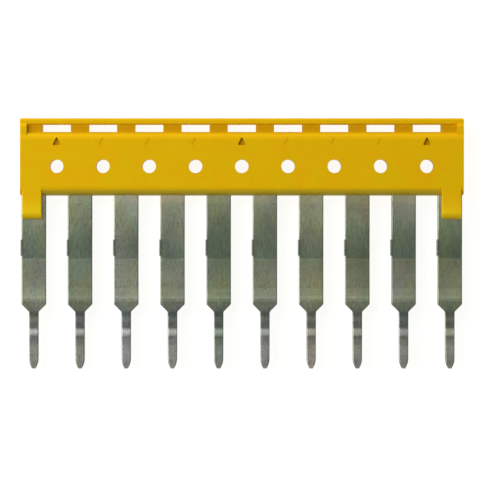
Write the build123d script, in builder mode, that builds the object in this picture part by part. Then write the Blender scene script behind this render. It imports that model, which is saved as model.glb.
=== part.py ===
from build123d import *
import os

# Terminal block jumper bar, ten poles, in millimetres.
# X runs along the bar, Y across it (grip rail on +Y, pin tips on -Y) and Z is its thickness.
# The bar lies on its rear face, which is at Z = 0.

# Poles
pole_count = 10
pole_pitch = 5.1

# Sizes across the bar, from the grip rail down to the pin tips
rail_depth = 0.7
slot_depth = 0.82
plate_depth = 7.0
blade_length = 12.0
pin_length = 6.26

# Insulating body
body_thickness = 2.8
end_wall = 0.15
slot_width = 3.1
lip_width = 0.75
post_recess = 0.45
leg_width = 2.15
leg_drop = 2.63
leg_inset = 0.1
hole_diameter = 1.5
hole_above_edge = 3.22

# Roundings of the body
rail_round = 0.3
rail_chamfer = 0.14
plate_top_round = 0.55
plate_bottom_round = 1.0
leg_bottom_round = 0.8
corner_round = 0.2
end_round = 0.12

# Moulded index marks above the holes
mark_width = 0.95
mark_height = 1.0
mark_above_hole = 2.82
mark_round = 0.12
deep_mark_depth = 0.35
shallow_mark_depth = 0.05
gaps_per_deep_mark = 4

# Outline of the stamped comb
blade_width = 2.7
pin_width = 1.06
pin_end_width = 1.02
nose_length = 1.1
nose_tip_width = 0.36
shoulder_round = 0.3
web_below_plate_top = 0.75
web_above_plate_edge = 0.35
web_end_setback = 0.4
web_hole_diameter = 2.5
nib_width = 0.12
nib_length = 1.8
nib_above_pinch = 1.18

# Folded sheet
sheet_thickness = 0.5
sheet_edge_round = 0.1

# Gap between the two leaves, at the places where it changes
web_gap = 0.3
bow_gap = 0.56
pinch_gap = 0.04
relax_gap = 0.16
flare_gap = 0.28
root_gap = 0.21
neck_gap = 0.11
contact_gap = 0.36
waist_gap = 0.34
crest_gap = 0.5
tip_gap = 0.32

# Where those places are along a pole, from the nearer end of the shoulder
bow_below_plate = 3.3
pinch_below_plate = 6.93
relax_above_shoulder = 1.35
flare_above_shoulder = 0.45
root_below_shoulder = 0.03
neck_below_shoulder = 0.4
dip_below_shoulder = 1.1
step_below_shoulder = 1.93
step_length = 0.6
waist_below_step = 0.8
crest_above_tip = 1.05
coin_length = 0.5
coined_tip_thickness = 1.22

# Bend radii at the middle of the sheet
bow_radius = 46.0
relax_radius = 16.0
waist_radius = 12.0
crest_radius = 10.0
gentle_radius = 3.0
step_radius = 1.2
crease_radius = 0.7

# Levels across the bar, centred on its whole depth
shoulder_run = (blade_width - pin_width) / 2
bar_depth = rail_depth + slot_depth + plate_depth + blade_length + shoulder_run + pin_length
rail_top = bar_depth / 2
rail_bottom = rail_top - rail_depth
plate_top = rail_bottom - slot_depth
plate_edge = plate_top - plate_depth
leg_bottom = plate_edge - leg_drop
shoulder_top = plate_edge - blade_length
shoulder_bottom = shoulder_top - shoulder_run
pin_tip = shoulder_bottom - pin_length
nose_top = pin_tip + nose_length
hole_level = plate_edge + hole_above_edge
mark_level = hole_level + mark_above_hole
web_top = plate_top - web_below_plate_top
web_bottom = plate_edge + web_above_plate_edge
pinch_level = plate_edge - pinch_below_plate
step_top = shoulder_bottom - step_below_shoulder
step_bottom = step_top - step_length

# Lengths along the bar
gap_count = pole_count - 1
comb_length = gap_count * pole_pitch + blade_width
body_length = comb_length + 2 * end_wall

# The middle of the thickness, and the plane that side sections are drawn on: its x is the bar's Y
middle = body_thickness / 2
section_plane = Plane(origin=(0, 0, middle), x_dir=(0, 1, 0), z_dir=(1, 0, 0))


def leaf_offset(gap):
    """Distance from the middle plane to the middle of one leaf, where the leaves stand this far apart."""
    return (gap + sheet_thickness) / 2


fold_level = web_top - sheet_thickness / 2 - leaf_offset(web_gap)
crest_outer = leaf_offset(crest_gap) + sheet_thickness / 2

# Half of the front outline of one pole, mirrored, with a nib on its left side only
with BuildSketch() as pole_outline:
    with BuildLine():
        pole_side = FilletPolyline(
            (blade_width / 2, web_bottom),
            (blade_width / 2, shoulder_top),
            (pin_width / 2, shoulder_bottom),
            (pin_end_width / 2, nose_top),
            radius=shoulder_round,
        )
        nose = TangentArc(pole_side @ 1, (nose_tip_width / 2, pin_tip), tangent=pole_side % 1)
        Line(nose @ 1, (0, pin_tip))
        Line((0, web_bottom), pole_side @ 0)
        mirror(about=Plane.YZ)
    make_face()
    with Locations((-blade_width / 2 - nib_width, pinch_level + nib_above_pinch)):
        Rectangle(blade_width / 2, nib_length, align=(Align.MIN, Align.CENTER))

# One stamped sheet, folded along its top edge into two leaves
with BuildPart() as contact_comb:
    with BuildSketch(section_plane):
        with BuildLine():
            FilletPolyline(
                (pin_tip - sheet_thickness, leaf_offset(tip_gap)),
                (pin_tip + crest_above_tip, leaf_offset(crest_gap)),
                (step_bottom - waist_below_step, leaf_offset(waist_gap)),
                (step_bottom, leaf_offset(contact_gap)),
                (step_top, leaf_offset(pinch_gap)),
                (shoulder_bottom - dip_below_shoulder, leaf_offset(neck_gap)),
                (shoulder_bottom - neck_below_shoulder, leaf_offset(neck_gap)),
                (shoulder_bottom - root_below_shoulder, leaf_offset(root_gap)),
                (shoulder_top + flare_above_shoulder, leaf_offset(flare_gap)),
                (shoulder_top + relax_above_shoulder, leaf_offset(relax_gap)),
                (pinch_level, leaf_offset(pinch_gap)),
                (plate_edge - bow_below_plate, leaf_offset(bow_gap)),
                (web_bottom, leaf_offset(web_gap)),
                (fold_level, leaf_offset(web_gap)),
                radius=(
                    crest_radius,
                    waist_radius,
                    step_radius,
                    step_radius,
                    gentle_radius,
                    gentle_radius,
                    gentle_radius,
                    gentle_radius,
                    relax_radius,
                    crease_radius,
                    bow_radius,
                    gentle_radius,
                ),
            )
            CenterArc((fold_level, 0), leaf_offset(web_gap), 0, 90)
            mirror(about=Plane.XZ)
        trace(line_width=sheet_thickness)
        # Both outer faces are coined towards the tip
        with BuildLine():
            Polyline(
                (pin_tip, 0),
                (pin_tip, coined_tip_thickness / 2),
                (pin_tip + coin_length, crest_outer),
                (pin_tip + coin_length, middle),
                (web_top, middle),
                (web_top, 0),
            )
            mirror(about=Plane.XZ)
        make_face(mode=Mode.INTERSECT)
    extrude(amount=comb_length / 2 + nib_width, both=True)
    with BuildSketch():
        with Locations((0, web_bottom)):
            Rectangle(
                comb_length - 2 * web_end_setback,
                web_top - web_bottom,
                align=(Align.CENTER, Align.MIN),
            )
        with GridLocations(pole_pitch, 0, pole_count, 1):
            add(pole_outline.sketch)
        with Locations((0, hole_level)):
            with GridLocations(pole_pitch, 0, gap_count, 1):
                Circle(web_hole_diameter / 2, mode=Mode.SUBTRACT)
    extrude(amount=body_thickness, mode=Mode.INTERSECT)
    # The blanking tool rounds the outline's edges on both outer faces
    pole_edges = contact_comb.edges().filter_by_position(Axis.Y, pin_tip, web_bottom, (False, False))
    outline_edges = pole_edges.filter_by(
        lambda edge: abs(edge.center().Z - middle) > sheet_thickness * 0.9
        and abs((edge @ 0).Y - (edge @ 1).Y) > 0.001
    )
    fillet(outline_edges, radius=sheet_edge_round)
    contact_comb.part.label = "contact_comb"

# Side sections of the body, each with its own roundings along the bar
with BuildSketch(section_plane) as rail_section:
    with Locations((rail_bottom, 0)):
        Rectangle(rail_depth, body_thickness, align=(Align.MIN, Align.CENTER))
    fillet(rail_section.vertices().group_by(Axis.X)[-1], radius=rail_round)
    chamfer(rail_section.vertices().group_by(Axis.X)[0], length=rail_chamfer)

with BuildSketch(section_plane) as plate_section:
    with Locations((plate_edge, 0)):
        Rectangle(plate_depth, body_thickness, align=(Align.MIN, Align.CENTER))
    fillet(plate_section.vertices().group_by(Axis.X)[-1], radius=plate_top_round)
    fillet(plate_section.vertices().group_by(Axis.X)[0], radius=plate_bottom_round)

with BuildSketch(section_plane) as leg_section:
    with Locations((leg_bottom, 0)):
        Rectangle(leg_drop + plate_bottom_round, body_thickness, align=(Align.MIN, Align.CENTER))
    fillet(leg_section.vertices().group_by(Axis.X)[0], radius=leg_bottom_round)

# One leg, on X = 0
with BuildPart() as leg:
    extrude(leg_section.sketch, amount=leg_width / 2, both=True)
    with BuildSketch(Plane.XZ):
        with Locations((0, middle)):
            RectangleRounded(leg_width, body_thickness, end_round)
    extrude(amount=bar_depth, both=True, mode=Mode.INTERSECT)

# Yellow moulding around the comb's web
with BuildPart() as insulating_body:
    extrude(rail_section.sketch, amount=body_length / 2, both=True)
    extrude(plate_section.sketch, amount=body_length / 2, both=True)
    # A recessed wall joins rail and plate, and a full lip closes the groove at each end
    with BuildSketch(Plane.XY.offset(post_recess)):
        with Locations((0, plate_top - plate_top_round)):
            Rectangle(
                body_length,
                plate_top_round + slot_depth + rail_chamfer,
                align=(Align.CENTER, Align.MIN),
            )
    extrude(amount=body_thickness - 2 * post_recess)
    with BuildSketch():
        with Locations((0, plate_top - plate_top_round)):
            with GridLocations(body_length - lip_width, 0, 2, 1):
                Rectangle(
                    lip_width,
                    plate_top_round + slot_depth + rail_depth - rail_round,
                    align=(Align.CENTER, Align.MIN),
                )
    extrude(amount=body_thickness)
    # Rounded corners, seen from the front and then along the poles
    with BuildSketch() as body_outline:
        with Locations((0, plate_edge)):
            Rectangle(body_length, rail_top - plate_edge, align=(Align.CENTER, Align.MIN))
        fillet(body_outline.vertices(), radius=corner_round)
    extrude(amount=body_thickness, mode=Mode.INTERSECT)
    with BuildSketch(Plane.XZ):
        with Locations((0, middle)):
            RectangleRounded(body_length, body_thickness, end_round)
    extrude(amount=bar_depth, both=True, mode=Mode.INTERSECT)
    with GridLocations(comb_length - 2 * leg_inset - leg_width, 0, 2, 1):
        add(leg.part)
    # Nine slots under the rail and nine holes through the plate, midway between the poles
    with BuildSketch():
        with Locations((0, plate_top)):
            with GridLocations(pole_pitch, 0, gap_count, 1):
                Rectangle(slot_width, slot_depth, align=(Align.CENTER, Align.MIN))
        with Locations((0, hole_level)):
            with GridLocations(pole_pitch, 0, gap_count, 1):
                Circle(hole_diameter / 2)
    extrude(amount=body_thickness, mode=Mode.SUBTRACT)
    # A small triangle is sunk above each hole, deep above every fourth one
    with BuildSketch(mode=Mode.PRIVATE) as mark:
        Polygon(
            (-mark_width / 2, -mark_height / 2),
            (mark_width / 2, -mark_height / 2),
            (0, mark_height / 2),
        )
        fillet(mark.vertices(), radius=mark_round)
    for gap in range(gap_count):
        mark_x = (gap - (gap_count - 1) / 2) * pole_pitch
        depth = shallow_mark_depth if gap % gaps_per_deep_mark else deep_mark_depth
        with BuildSketch(Plane.XY.offset(body_thickness)):
            with Locations((mark_x, mark_level)):
                add(mark.sketch)
        extrude(amount=-depth, mode=Mode.SUBTRACT)
    # The plastic fills the mould round the comb and between its leaves
    add(contact_comb.part, mode=Mode.SUBTRACT)
    insulating_body.part.label = "insulating_body"

os.makedirs("parts", exist_ok=True)
for piece in (insulating_body.part, contact_comb.part):
    export_step(piece, f"parts/{piece.label}.step")
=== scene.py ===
import math

import bpy
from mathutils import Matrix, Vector

# Terminal block jumper bar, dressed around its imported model.
# Lengths are in metres, and those of the part in millimetres, as in its source.
# X runs along the bar, Y across it and Z up from the surface that it lies on.
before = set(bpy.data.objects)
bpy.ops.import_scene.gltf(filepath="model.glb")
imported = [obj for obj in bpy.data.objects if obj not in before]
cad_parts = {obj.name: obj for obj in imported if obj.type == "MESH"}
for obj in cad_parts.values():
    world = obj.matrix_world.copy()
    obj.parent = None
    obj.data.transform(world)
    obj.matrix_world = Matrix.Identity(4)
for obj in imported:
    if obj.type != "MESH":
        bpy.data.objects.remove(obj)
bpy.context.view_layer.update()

MM = 0.001

# Poles and levels of the part, in millimetres
POLE_PITCH = 5.1
POLE_COUNT = 10
BODY_THICKNESS = 2.8
RAIL_EDGE_LEVELS = (12.9, 13.25)
GROOVE_LEVELS = (12.25, 12.85)
GROOVE_DEPTH = 0.45
RIDGE_LEVELS = (11.5, 12.0)
MARK_LEVELS = (10.75, 11.9)
DEEP_MARK_DEPTH = 0.35
PLATE_EDGE = 5.28
LEG_BOTTOM = 2.65
LEG_INNER = 22.05
NIB_LEVELS = (-1.4, 0.45)
BLADE_HALF_WIDTH = 1.35
PIN_TIP = -13.8

# The photograph: millimetres a pixel, and the pixel where the middle of the bar is
PHOTO_SIDE = 480
PHOTO_SCALE = 0.1104
PHOTO_CENTRE = (241.3, 242.9)

# Camera, straight above
CAMERA_DISTANCE = 0.55
SENSOR_WIDTH = 36.0

# Studio: a pale table lit from below and a large soft key light low on the left
FLOOR_SIDE = 6.0
TABLE_GLOW = 0.9
KEY_DIRECTION = (-0.7, 0.34, 0.63)
KEY_DISTANCE = 0.36
KEY_SIDE = 0.42
KEY_POWER = 1.45

# Its sky: how bright it is at each share of the way from the -Y horizon (-1) to the +Y one (1)
BRIGHT_SIDE = (-0.1, 0.995, 0.0)
SKY = (
    (-1.0, 0.3),
    (-0.5, 0.25),
    (-0.26, 0.13),
    (0.0, 0.13),
    (0.13, 0.6),
    (0.35, 0.58),
    (1.0, 0.65),
)

# Edge breaks of the moulding: their width in millimetres, and in degrees the least edge that is
# broken, the flattest join that is dissolved before, and the least edge that is shaded as one after
EDGE_BREAK = 0.05
BROKEN_ANGLE = 40
FLAT_ANGLE = 0.4
SHARP_ANGLE = 12

# The moulding's linear colours
YELLOW = (0.74, 0.455, 0.001)
WARM_YELLOW = (0.77, 0.43, 0.001)
SPECK_TONE = (0.62, 0.36, 0.001)
# Painted glow: the feet made brighter, as if lit through the thin plastic
FOOT_GLOW_TONE = (0.85, 0.60, 0.01)
# Painted shade on the rounded lower edge of the plate, between the legs
LOW_EDGE_SHADE_TONE = (0.60, 0.43, 0.02)
# Painted highlight on the plate's top ridge and along the rail's lower edge
EDGE_HIGHLIGHT_TONE = (1.0, 0.54, 0.003)
# Painted shade in the groove under the rail
GROOVE_SHADE_TONE = (0.64, 0.32, 0.001)
MARK_TONE = (0.16, 0.08, 0.001)
YELLOW_SHEEN = (1.0, 0.72, 0.1)

# The tin's linear colours along a pole, by millimetres below the moulding: olive blades, a greener
# neck and bright pin ends, partly the tin's own tone and partly painted shade and highlight along
# the bends
TIN_TONE_AND_SHADING = (
    (0.0, (0.53, 0.50, 0.29)),
    (1.2, (0.45, 0.48, 0.32)),
    (6.7, (0.37, 0.465, 0.325)),
    (7.3, (0.335, 0.38, 0.255)),
    (9.6, (0.39, 0.435, 0.285)),
    (12.1, (0.40, 0.435, 0.31)),
    (13.0, (0.30, 0.34, 0.275)),
    (16.0, (0.40, 0.41, 0.35)),
    (17.6, (0.475, 0.485, 0.425)),
    (19.0, (0.76, 0.77, 0.69)),
)
# Painted shade at the nib on the left edge of each blade
NIB_SHADE_TONE = (0.2, 0.24, 0.19)
# Painted shade along the edges of the blades
BLADE_EDGE_SHADE_TONE = (0.3, 0.33, 0.26)
SHEARED_TONE = (0.22, 0.23, 0.18)

# How far red, green and blue vary in the tin's clouds, and from pole to pole, as shares
CLOUD_HUES = (0.4, 0.2, 0.6)
CLOUD_SHADES = (0.8, 0.8, 0.8)
POLE_HUES = (0.1, 0.05, 0.2)
POLE_SHADES = (0.22, 0.22, 0.22)

# The table's linear colours
TABLE_TONE = (0.2, 0.2, 0.19)
TABLE_FIBRE_TONE = (0.24, 0.24, 0.23)
TABLE_GLOW_TONE = (1.0, 1.0, 0.98)


def plug(tree, socket, value):
    """Links a socket from another socket, or sets its own value."""
    if isinstance(value, bpy.types.NodeSocket):
        tree.links.new(value, socket)
    else:
        socket.default_value = value


def add_node(tree, kind, options=None, **inputs):
    """Adds a node, with its settings as options and values or sockets as inputs, by socket name."""
    new = tree.nodes.new(kind)
    for name, value in (options or {}).items():
        setattr(new, name, value)
    for name, value in inputs.items():
        plug(tree, new.inputs[name.replace("_", " ")], value)
    return new


def calculate(tree, operation, first, second=0.0, third=0.0):
    """A Math node's result."""
    new = tree.nodes.new("ShaderNodeMath")
    new.operation = operation
    for socket, value in zip(new.inputs, (first, second, third)):
        plug(tree, socket, value)
    return new.outputs[0]


def spread(tree, value, low, high, new_low=0.0, new_high=1.0):
    """Maps a value smoothly from one range to another, held at both ends."""
    new = add_node(
        tree,
        "ShaderNodeMapRange",
        {"interpolation_type": "SMOOTHSTEP"},
        Value=value,
        From_Min=low,
        From_Max=high,
        To_Min=new_low,
        To_Max=new_high,
    )
    return new.outputs["Result"]


def within(tree, value, low, high, fade):
    """1 where a value lies between two others and 0 outside, with soft ends."""
    above = spread(tree, value, low - fade / 2, low + fade / 2)
    below = spread(tree, value, high - fade / 2, high + fade / 2, 1.0, 0.0)
    return calculate(tree, "MULTIPLY", above, below)


def colour(red, green, blue):
    """A linear colour with its fourth channel."""
    return (red, green, blue, 1.0)


def mix_colours(tree, share, first, second):
    """A colour between two, by share."""
    new = tree.nodes.new("ShaderNodeMix")
    new.data_type = "RGBA"
    for socket, value in ((new.inputs[0], share), (new.inputs[6], first), (new.inputs[7], second)):
        plug(tree, socket, value)
    return new.outputs[2]


def ramp(tree, share, stops):
    """A colour by share from 0 to 1, by pairs of a share and its red, green and blue."""
    new = add_node(tree, "ShaderNodeValToRGB", Fac=share)
    elements = new.color_ramp.elements
    while len(elements) < len(stops):
        elements.new(0.5)
    for element, (position, tone) in zip(elements, stops):
        element.position = position
        element.color = colour(*tone)
    return new.outputs["Color"]


def millimetres(tree, stretch=(1.0, 1.0, 1.0)):
    """The surface's place in the part's frame in millimetres, stretched on each axis."""
    place = add_node(tree, "ShaderNodeTexCoord").outputs["Object"]
    mapping = add_node(tree, "ShaderNodeMapping", Vector=place, Scale=[s / MM for s in stretch])
    return mapping.outputs["Vector"]


def axes(tree, vector):
    """A vector's X, Y and Z."""
    return add_node(tree, "ShaderNodeSeparateXYZ", Vector=vector).outputs


def add_noise(tree, place, scale, detail=3.0):
    """A noise node with so many cells to a millimetre."""
    return add_node(tree, "ShaderNodeTexNoise", Vector=place, Scale=scale, Detail=detail)


def noise(tree, place, scale, detail=3.0):
    """Noise from 0 to 1, scale cells to a millimetre."""
    return add_noise(tree, place, scale, detail).outputs["Fac"]


def bump(tree, height, depth, normal=None):
    """A bumped normal, where height 1 stands depth millimetres above height 0."""
    inputs = {"Height": height, "Distance": depth * MM}
    if normal:
        inputs["Normal"] = normal
    return add_node(tree, "ShaderNodeBump", **inputs).outputs["Normal"]


def new_material(name):
    """A node material, with its tree and its shader."""
    material = bpy.data.materials.new(name)
    material.use_nodes = True
    tree = material.node_tree
    return material, tree, tree.nodes["Principled BSDF"]


def clouded_yellow(tree, place):
    """Faintly cloudy yellow with darker specks."""
    clouds = spread(tree, noise(tree, place, 0.35), 0.38, 0.62)
    tone = mix_colours(tree, clouds, colour(*YELLOW), colour(*WARM_YELLOW))
    specks = spread(tree, noise(tree, place, 3.0, 2.0), 0.5, 0.75, 0.0, 0.22)
    return mix_colours(tree, specks, tone, colour(*SPECK_TONE))


def tint_edges(tree, tone, x, y):
    """Painted light and shade: brighter feet as a painted glow, painted shade on the olive lower
    edge between them, and a painted highlight on the ridge and rail edge.
    """
    foot_glow = spread(tree, y, LEG_BOTTOM, PLATE_EDGE + 0.5, 0.7, 0.0)
    tone = mix_colours(tree, foot_glow, tone, colour(*FOOT_GLOW_TONE))
    off_middle = calculate(tree, "ABSOLUTE", x)
    between_legs = spread(tree, off_middle, LEG_INNER - 0.15, LEG_INNER, 1.0, 0.0)
    at_edge = within(tree, y, PLATE_EDGE - 0.3, PLATE_EDGE + 0.6, 0.4)
    low_edge_shade = calculate(tree, "MULTIPLY", at_edge, between_legs)
    tone = mix_colours(tree, low_edge_shade, tone, colour(*LOW_EDGE_SHADE_TONE))
    # Painted highlight on the ridge and on the rail's lower edge
    for levels, share in ((RIDGE_LEVELS, 0.5), (RAIL_EDGE_LEVELS, 0.9)):
        painted_edge_shading = calculate(tree, "MULTIPLY", within(tree, y, *levels, 0.2), share)
        tone = mix_colours(tree, painted_edge_shading, tone, colour(*EDGE_HIGHLIGHT_TONE))
    return tone


def tint_recesses(tree, tone, y, z):
    """Painted shade in the groove under the rail, duller and more orange, and brown in the deep
    marks.
    """
    depth = calculate(tree, "SUBTRACT", BODY_THICKNESS, z)
    groove_shade = calculate(
        tree,
        "MULTIPLY",
        within(tree, y, *GROOVE_LEVELS, 0.2),
        within(tree, depth, GROOVE_DEPTH / 2, BODY_THICKNESS - GROOVE_DEPTH / 2, 0.1),
    )
    tone = mix_colours(tree, groove_shade, tone, colour(*GROOVE_SHADE_TONE))
    in_mark = within(tree, y, *MARK_LEVELS, 0.1)
    sunk = spread(tree, depth, 0.1, DEEP_MARK_DEPTH, 0.0, 0.35)
    brown = calculate(tree, "MULTIPLY", in_mark, sunk)
    return mix_colours(tree, brown, tone, colour(*MARK_TONE))


def yellow_polyamide():
    """Satin yellow moulding, with a spark-eroded grain and a slight sink."""
    material, tree, shader = new_material("yellow_polyamide")
    place = millimetres(tree)
    x, y, z = axes(tree, place)
    edged = tint_edges(tree, clouded_yellow(tree, place), x, y)
    plug(tree, shader.inputs["Base Color"], tint_recesses(tree, edged, y, z))
    grain = noise(tree, place, 11.0, 2.0)
    plug(tree, shader.inputs["Roughness"], spread(tree, grain, 0.3, 0.7, 0.44, 0.56))
    sink = bump(tree, noise(tree, place, 0.22, 1.0), 0.05)
    plug(tree, shader.inputs["Normal"], bump(tree, grain, 0.006, sink))
    shader.inputs["IOR"].default_value = 1.53
    shader.inputs["Specular IOR Level"].default_value = 0.3
    shader.inputs["Specular Tint"].default_value = colour(*YELLOW_SHEEN)
    return material


def vary(tree, tone, draws, strengths):
    """Scales each channel of a colour by draws that lie around a half, and strengths as shares."""
    lowest = [1 - strength / 2 for strength in strengths]
    spans = add_node(tree, "ShaderNodeVectorMath", {"operation": "MULTIPLY_ADD"})
    for socket, value in zip(spans.inputs, (draws, strengths, lowest)):
        plug(tree, socket, value)
    product = add_node(tree, "ShaderNodeVectorMath", {"operation": "MULTIPLY"})
    plug(tree, product.inputs[0], tone)
    plug(tree, product.inputs[1], spans.outputs["Vector"])
    return product.outputs["Vector"]


def pole_tone(tree, x, y):
    """Tin toned along each pole, partly its own colour and partly painted shade and highlight, in
    olive, green and grey clouds, with its own tone to each pole.
    """
    reach = PLATE_EDGE - PIN_TIP
    share = calculate(tree, "DIVIDE", calculate(tree, "SUBTRACT", PLATE_EDGE, y), reach)
    toned_and_shaded = ramp(tree, share, [(level / reach, tone) for level, tone in TIN_TONE_AND_SHADING])
    long = millimetres(tree, (1.0, 0.6, 1.0))
    clouded = vary(tree, toned_and_shaded, add_noise(tree, long, 0.55, 2.0).outputs["Color"], CLOUD_HUES)
    shaded = vary(tree, clouded, noise(tree, long, 0.4), CLOUD_SHADES)
    pitches = calculate(tree, "ADD", calculate(tree, "DIVIDE", x, POLE_PITCH), POLE_COUNT / 2)
    pole = calculate(tree, "FLOOR", pitches)
    own = add_node(tree, "ShaderNodeTexWhiteNoise", {"noise_dimensions": "1D"}, W=pole).outputs
    return vary(tree, vary(tree, shaded, own["Color"], POLE_HUES), own["Value"], POLE_SHADES)


def shade_nibs(tree, tone, across, y):
    """Painted shade at the nib, on the left edge of each blade."""
    at_nib = calculate(
        tree,
        "MULTIPLY",
        within(tree, y, *NIB_LEVELS, 0.3),
        spread(tree, across, -BLADE_HALF_WIDTH, -BLADE_HALF_WIDTH + 0.4, 0.6, 0.0),
    )
    return mix_colours(tree, at_nib, tone, colour(*NIB_SHADE_TONE))


def dull_sides(tree, tone, across):
    """Painted shade along the edges of the blades, and duller on the sheared sides and their
    roundings.
    """
    off_middle = calculate(tree, "ABSOLUTE", across)
    edge = spread(tree, off_middle, BLADE_HALF_WIDTH - 0.35, BLADE_HALF_WIDTH - 0.05, 0.0, 0.2)
    painted_edge_shading = mix_colours(tree, edge, tone, colour(*BLADE_EDGE_SHADE_TONE))
    facing = axes(tree, add_node(tree, "ShaderNodeNewGeometry").outputs["Normal"])[0]
    side = spread(tree, calculate(tree, "ABSOLUTE", facing), 0.1, 0.7)
    return mix_colours(tree, side, painted_edge_shading, colour(*SHEARED_TONE))


def tinned_copper():
    """Dull rolled tin plate: clouded blades, greyer pins with a painted highlight at their ends."""
    material, tree, shader = new_material("tinned_copper")
    shader.inputs["Metallic"].default_value = 1.0
    place = millimetres(tree)
    x, y = axes(tree, place)[:2]
    in_pitch = calculate(tree, "WRAP", x, POLE_PITCH, 0.0)
    across = calculate(tree, "SUBTRACT", in_pitch, POLE_PITCH / 2)
    nib_shaded = shade_nibs(tree, pole_tone(tree, x, y), across, y)
    plug(tree, shader.inputs["Base Color"], dull_sides(tree, nib_shaded, across))
    streaks = noise(tree, millimetres(tree, (1.0, 0.1, 1.0)), 12.0)
    plug(tree, shader.inputs["Roughness"], spread(tree, streaks, 0.3, 0.7, 0.26, 0.34))
    rolled = bump(tree, streaks, 0.003)
    plug(tree, shader.inputs["Normal"], bump(tree, noise(tree, place, 2.5, 2.0), 0.008, rolled))
    return material


def studio_table():
    """Plain pale table, lit from below, which takes only a faint shade."""
    material, tree, shader = new_material("studio_table")
    fibres = noise(tree, millimetres(tree), 0.8, 4.0)
    tone = mix_colours(tree, fibres, colour(*TABLE_TONE), colour(*TABLE_FIBRE_TONE))
    plug(tree, shader.inputs["Base Color"], tone)
    shader.inputs["Roughness"].default_value = 0.9
    shader.inputs["Specular IOR Level"].default_value = 0.0
    shader.inputs["Emission Color"].default_value = colour(*TABLE_GLOW_TONE)
    shader.inputs["Emission Strength"].default_value = TABLE_GLOW
    return material


def dress(node_name, material):
    """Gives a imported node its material, in place of the plain one."""
    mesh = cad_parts[node_name].data
    mesh.materials.clear()
    mesh.materials.append(material)


def break_edges(node_name, width):
    """Breaks a node's sharp edges by a width in millimetres, and keeps its faces evenly shaded."""
    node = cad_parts[node_name]
    weld = node.modifiers.new("join_faces", "WELD")
    weld.merge_threshold = MM * MM
    flatten = node.modifiers.new("flat_faces", "DECIMATE")
    flatten.decimate_type = "DISSOLVE"
    flatten.angle_limit = math.radians(FLAT_ANGLE)
    breaks = node.modifiers.new("edge_breaks", "BEVEL")
    breaks.width = width * MM
    breaks.segments = 2
    breaks.limit_method = "ANGLE"
    breaks.angle_limit = math.radians(BROKEN_ANGLE)
    shading = node.modifiers.new("even_shading", "EDGE_SPLIT")
    shading.split_angle = math.radians(SHARP_ANGLE)


def make_floor():
    """A wide plane at Z = 0."""
    bpy.ops.mesh.primitive_plane_add(size=FLOOR_SIDE)
    floor = bpy.context.object
    floor.name = "studio_floor"
    floor.data.materials.append(studio_table())


def make_area_light(name, direction, distance, side, power):
    """A square soft light that faces the bar."""
    light = bpy.data.lights.new(name, "AREA")
    light.size = side
    light.energy = power
    lamp = bpy.data.objects.new(name, light)
    bpy.context.scene.collection.objects.link(lamp)
    towards = Vector(direction).normalized()
    lamp.location = towards * distance
    lamp.rotation_euler = towards.to_track_quat("Z", "Y").to_euler()


def make_world():
    """A plain grey studio, dim overhead and brighter towards the back of the table."""
    world = bpy.data.worlds.new("studio")
    world.use_nodes = True
    bpy.context.scene.world = world
    tree = world.node_tree
    direction = add_node(tree, "ShaderNodeTexCoord").outputs["Generated"]
    side = add_node(tree, "ShaderNodeVectorMath", {"operation": "DOT_PRODUCT"})
    plug(tree, side.inputs[0], direction)
    plug(tree, side.inputs[1], Vector(BRIGHT_SIDE).normalized())
    share = calculate(tree, "MULTIPLY_ADD", side.outputs["Value"], 0.5, 0.5)
    sky = ramp(tree, share, [((place + 1) / 2, (level, level, level)) for place, level in SKY])
    plug(tree, tree.nodes["Background"].inputs["Color"], sky)


def make_camera():
    """Looks straight down with the photograph's field and framing."""
    camera = bpy.data.cameras.new("camera")
    lens_camera = bpy.data.objects.new("camera", camera)
    bpy.context.scene.collection.objects.link(lens_camera)
    field = PHOTO_SIDE * PHOTO_SCALE * MM
    camera.sensor_width = SENSOR_WIDTH
    camera.lens = SENSOR_WIDTH * (CAMERA_DISTANCE - BODY_THICKNESS * MM / 2) / field
    middle = (PHOTO_SIDE - 1) / 2
    lens_camera.location = (
        (middle - PHOTO_CENTRE[0]) * PHOTO_SCALE * MM,
        (PHOTO_CENTRE[1] - middle) * PHOTO_SCALE * MM,
        CAMERA_DISTANCE,
    )
    camera.clip_start = CAMERA_DISTANCE / 100
    camera.clip_end = FLOOR_SIDE
    bpy.context.scene.camera = lens_camera


make_camera()
dress("insulating_body", yellow_polyamide())
dress("contact_comb", tinned_copper())
break_edges("insulating_body", EDGE_BREAK)
make_floor()
make_area_light("key_light", KEY_DIRECTION, KEY_DISTANCE, KEY_SIDE, KEY_POWER)
make_world()
bpy.context.scene.view_settings.view_transform = "Standard"
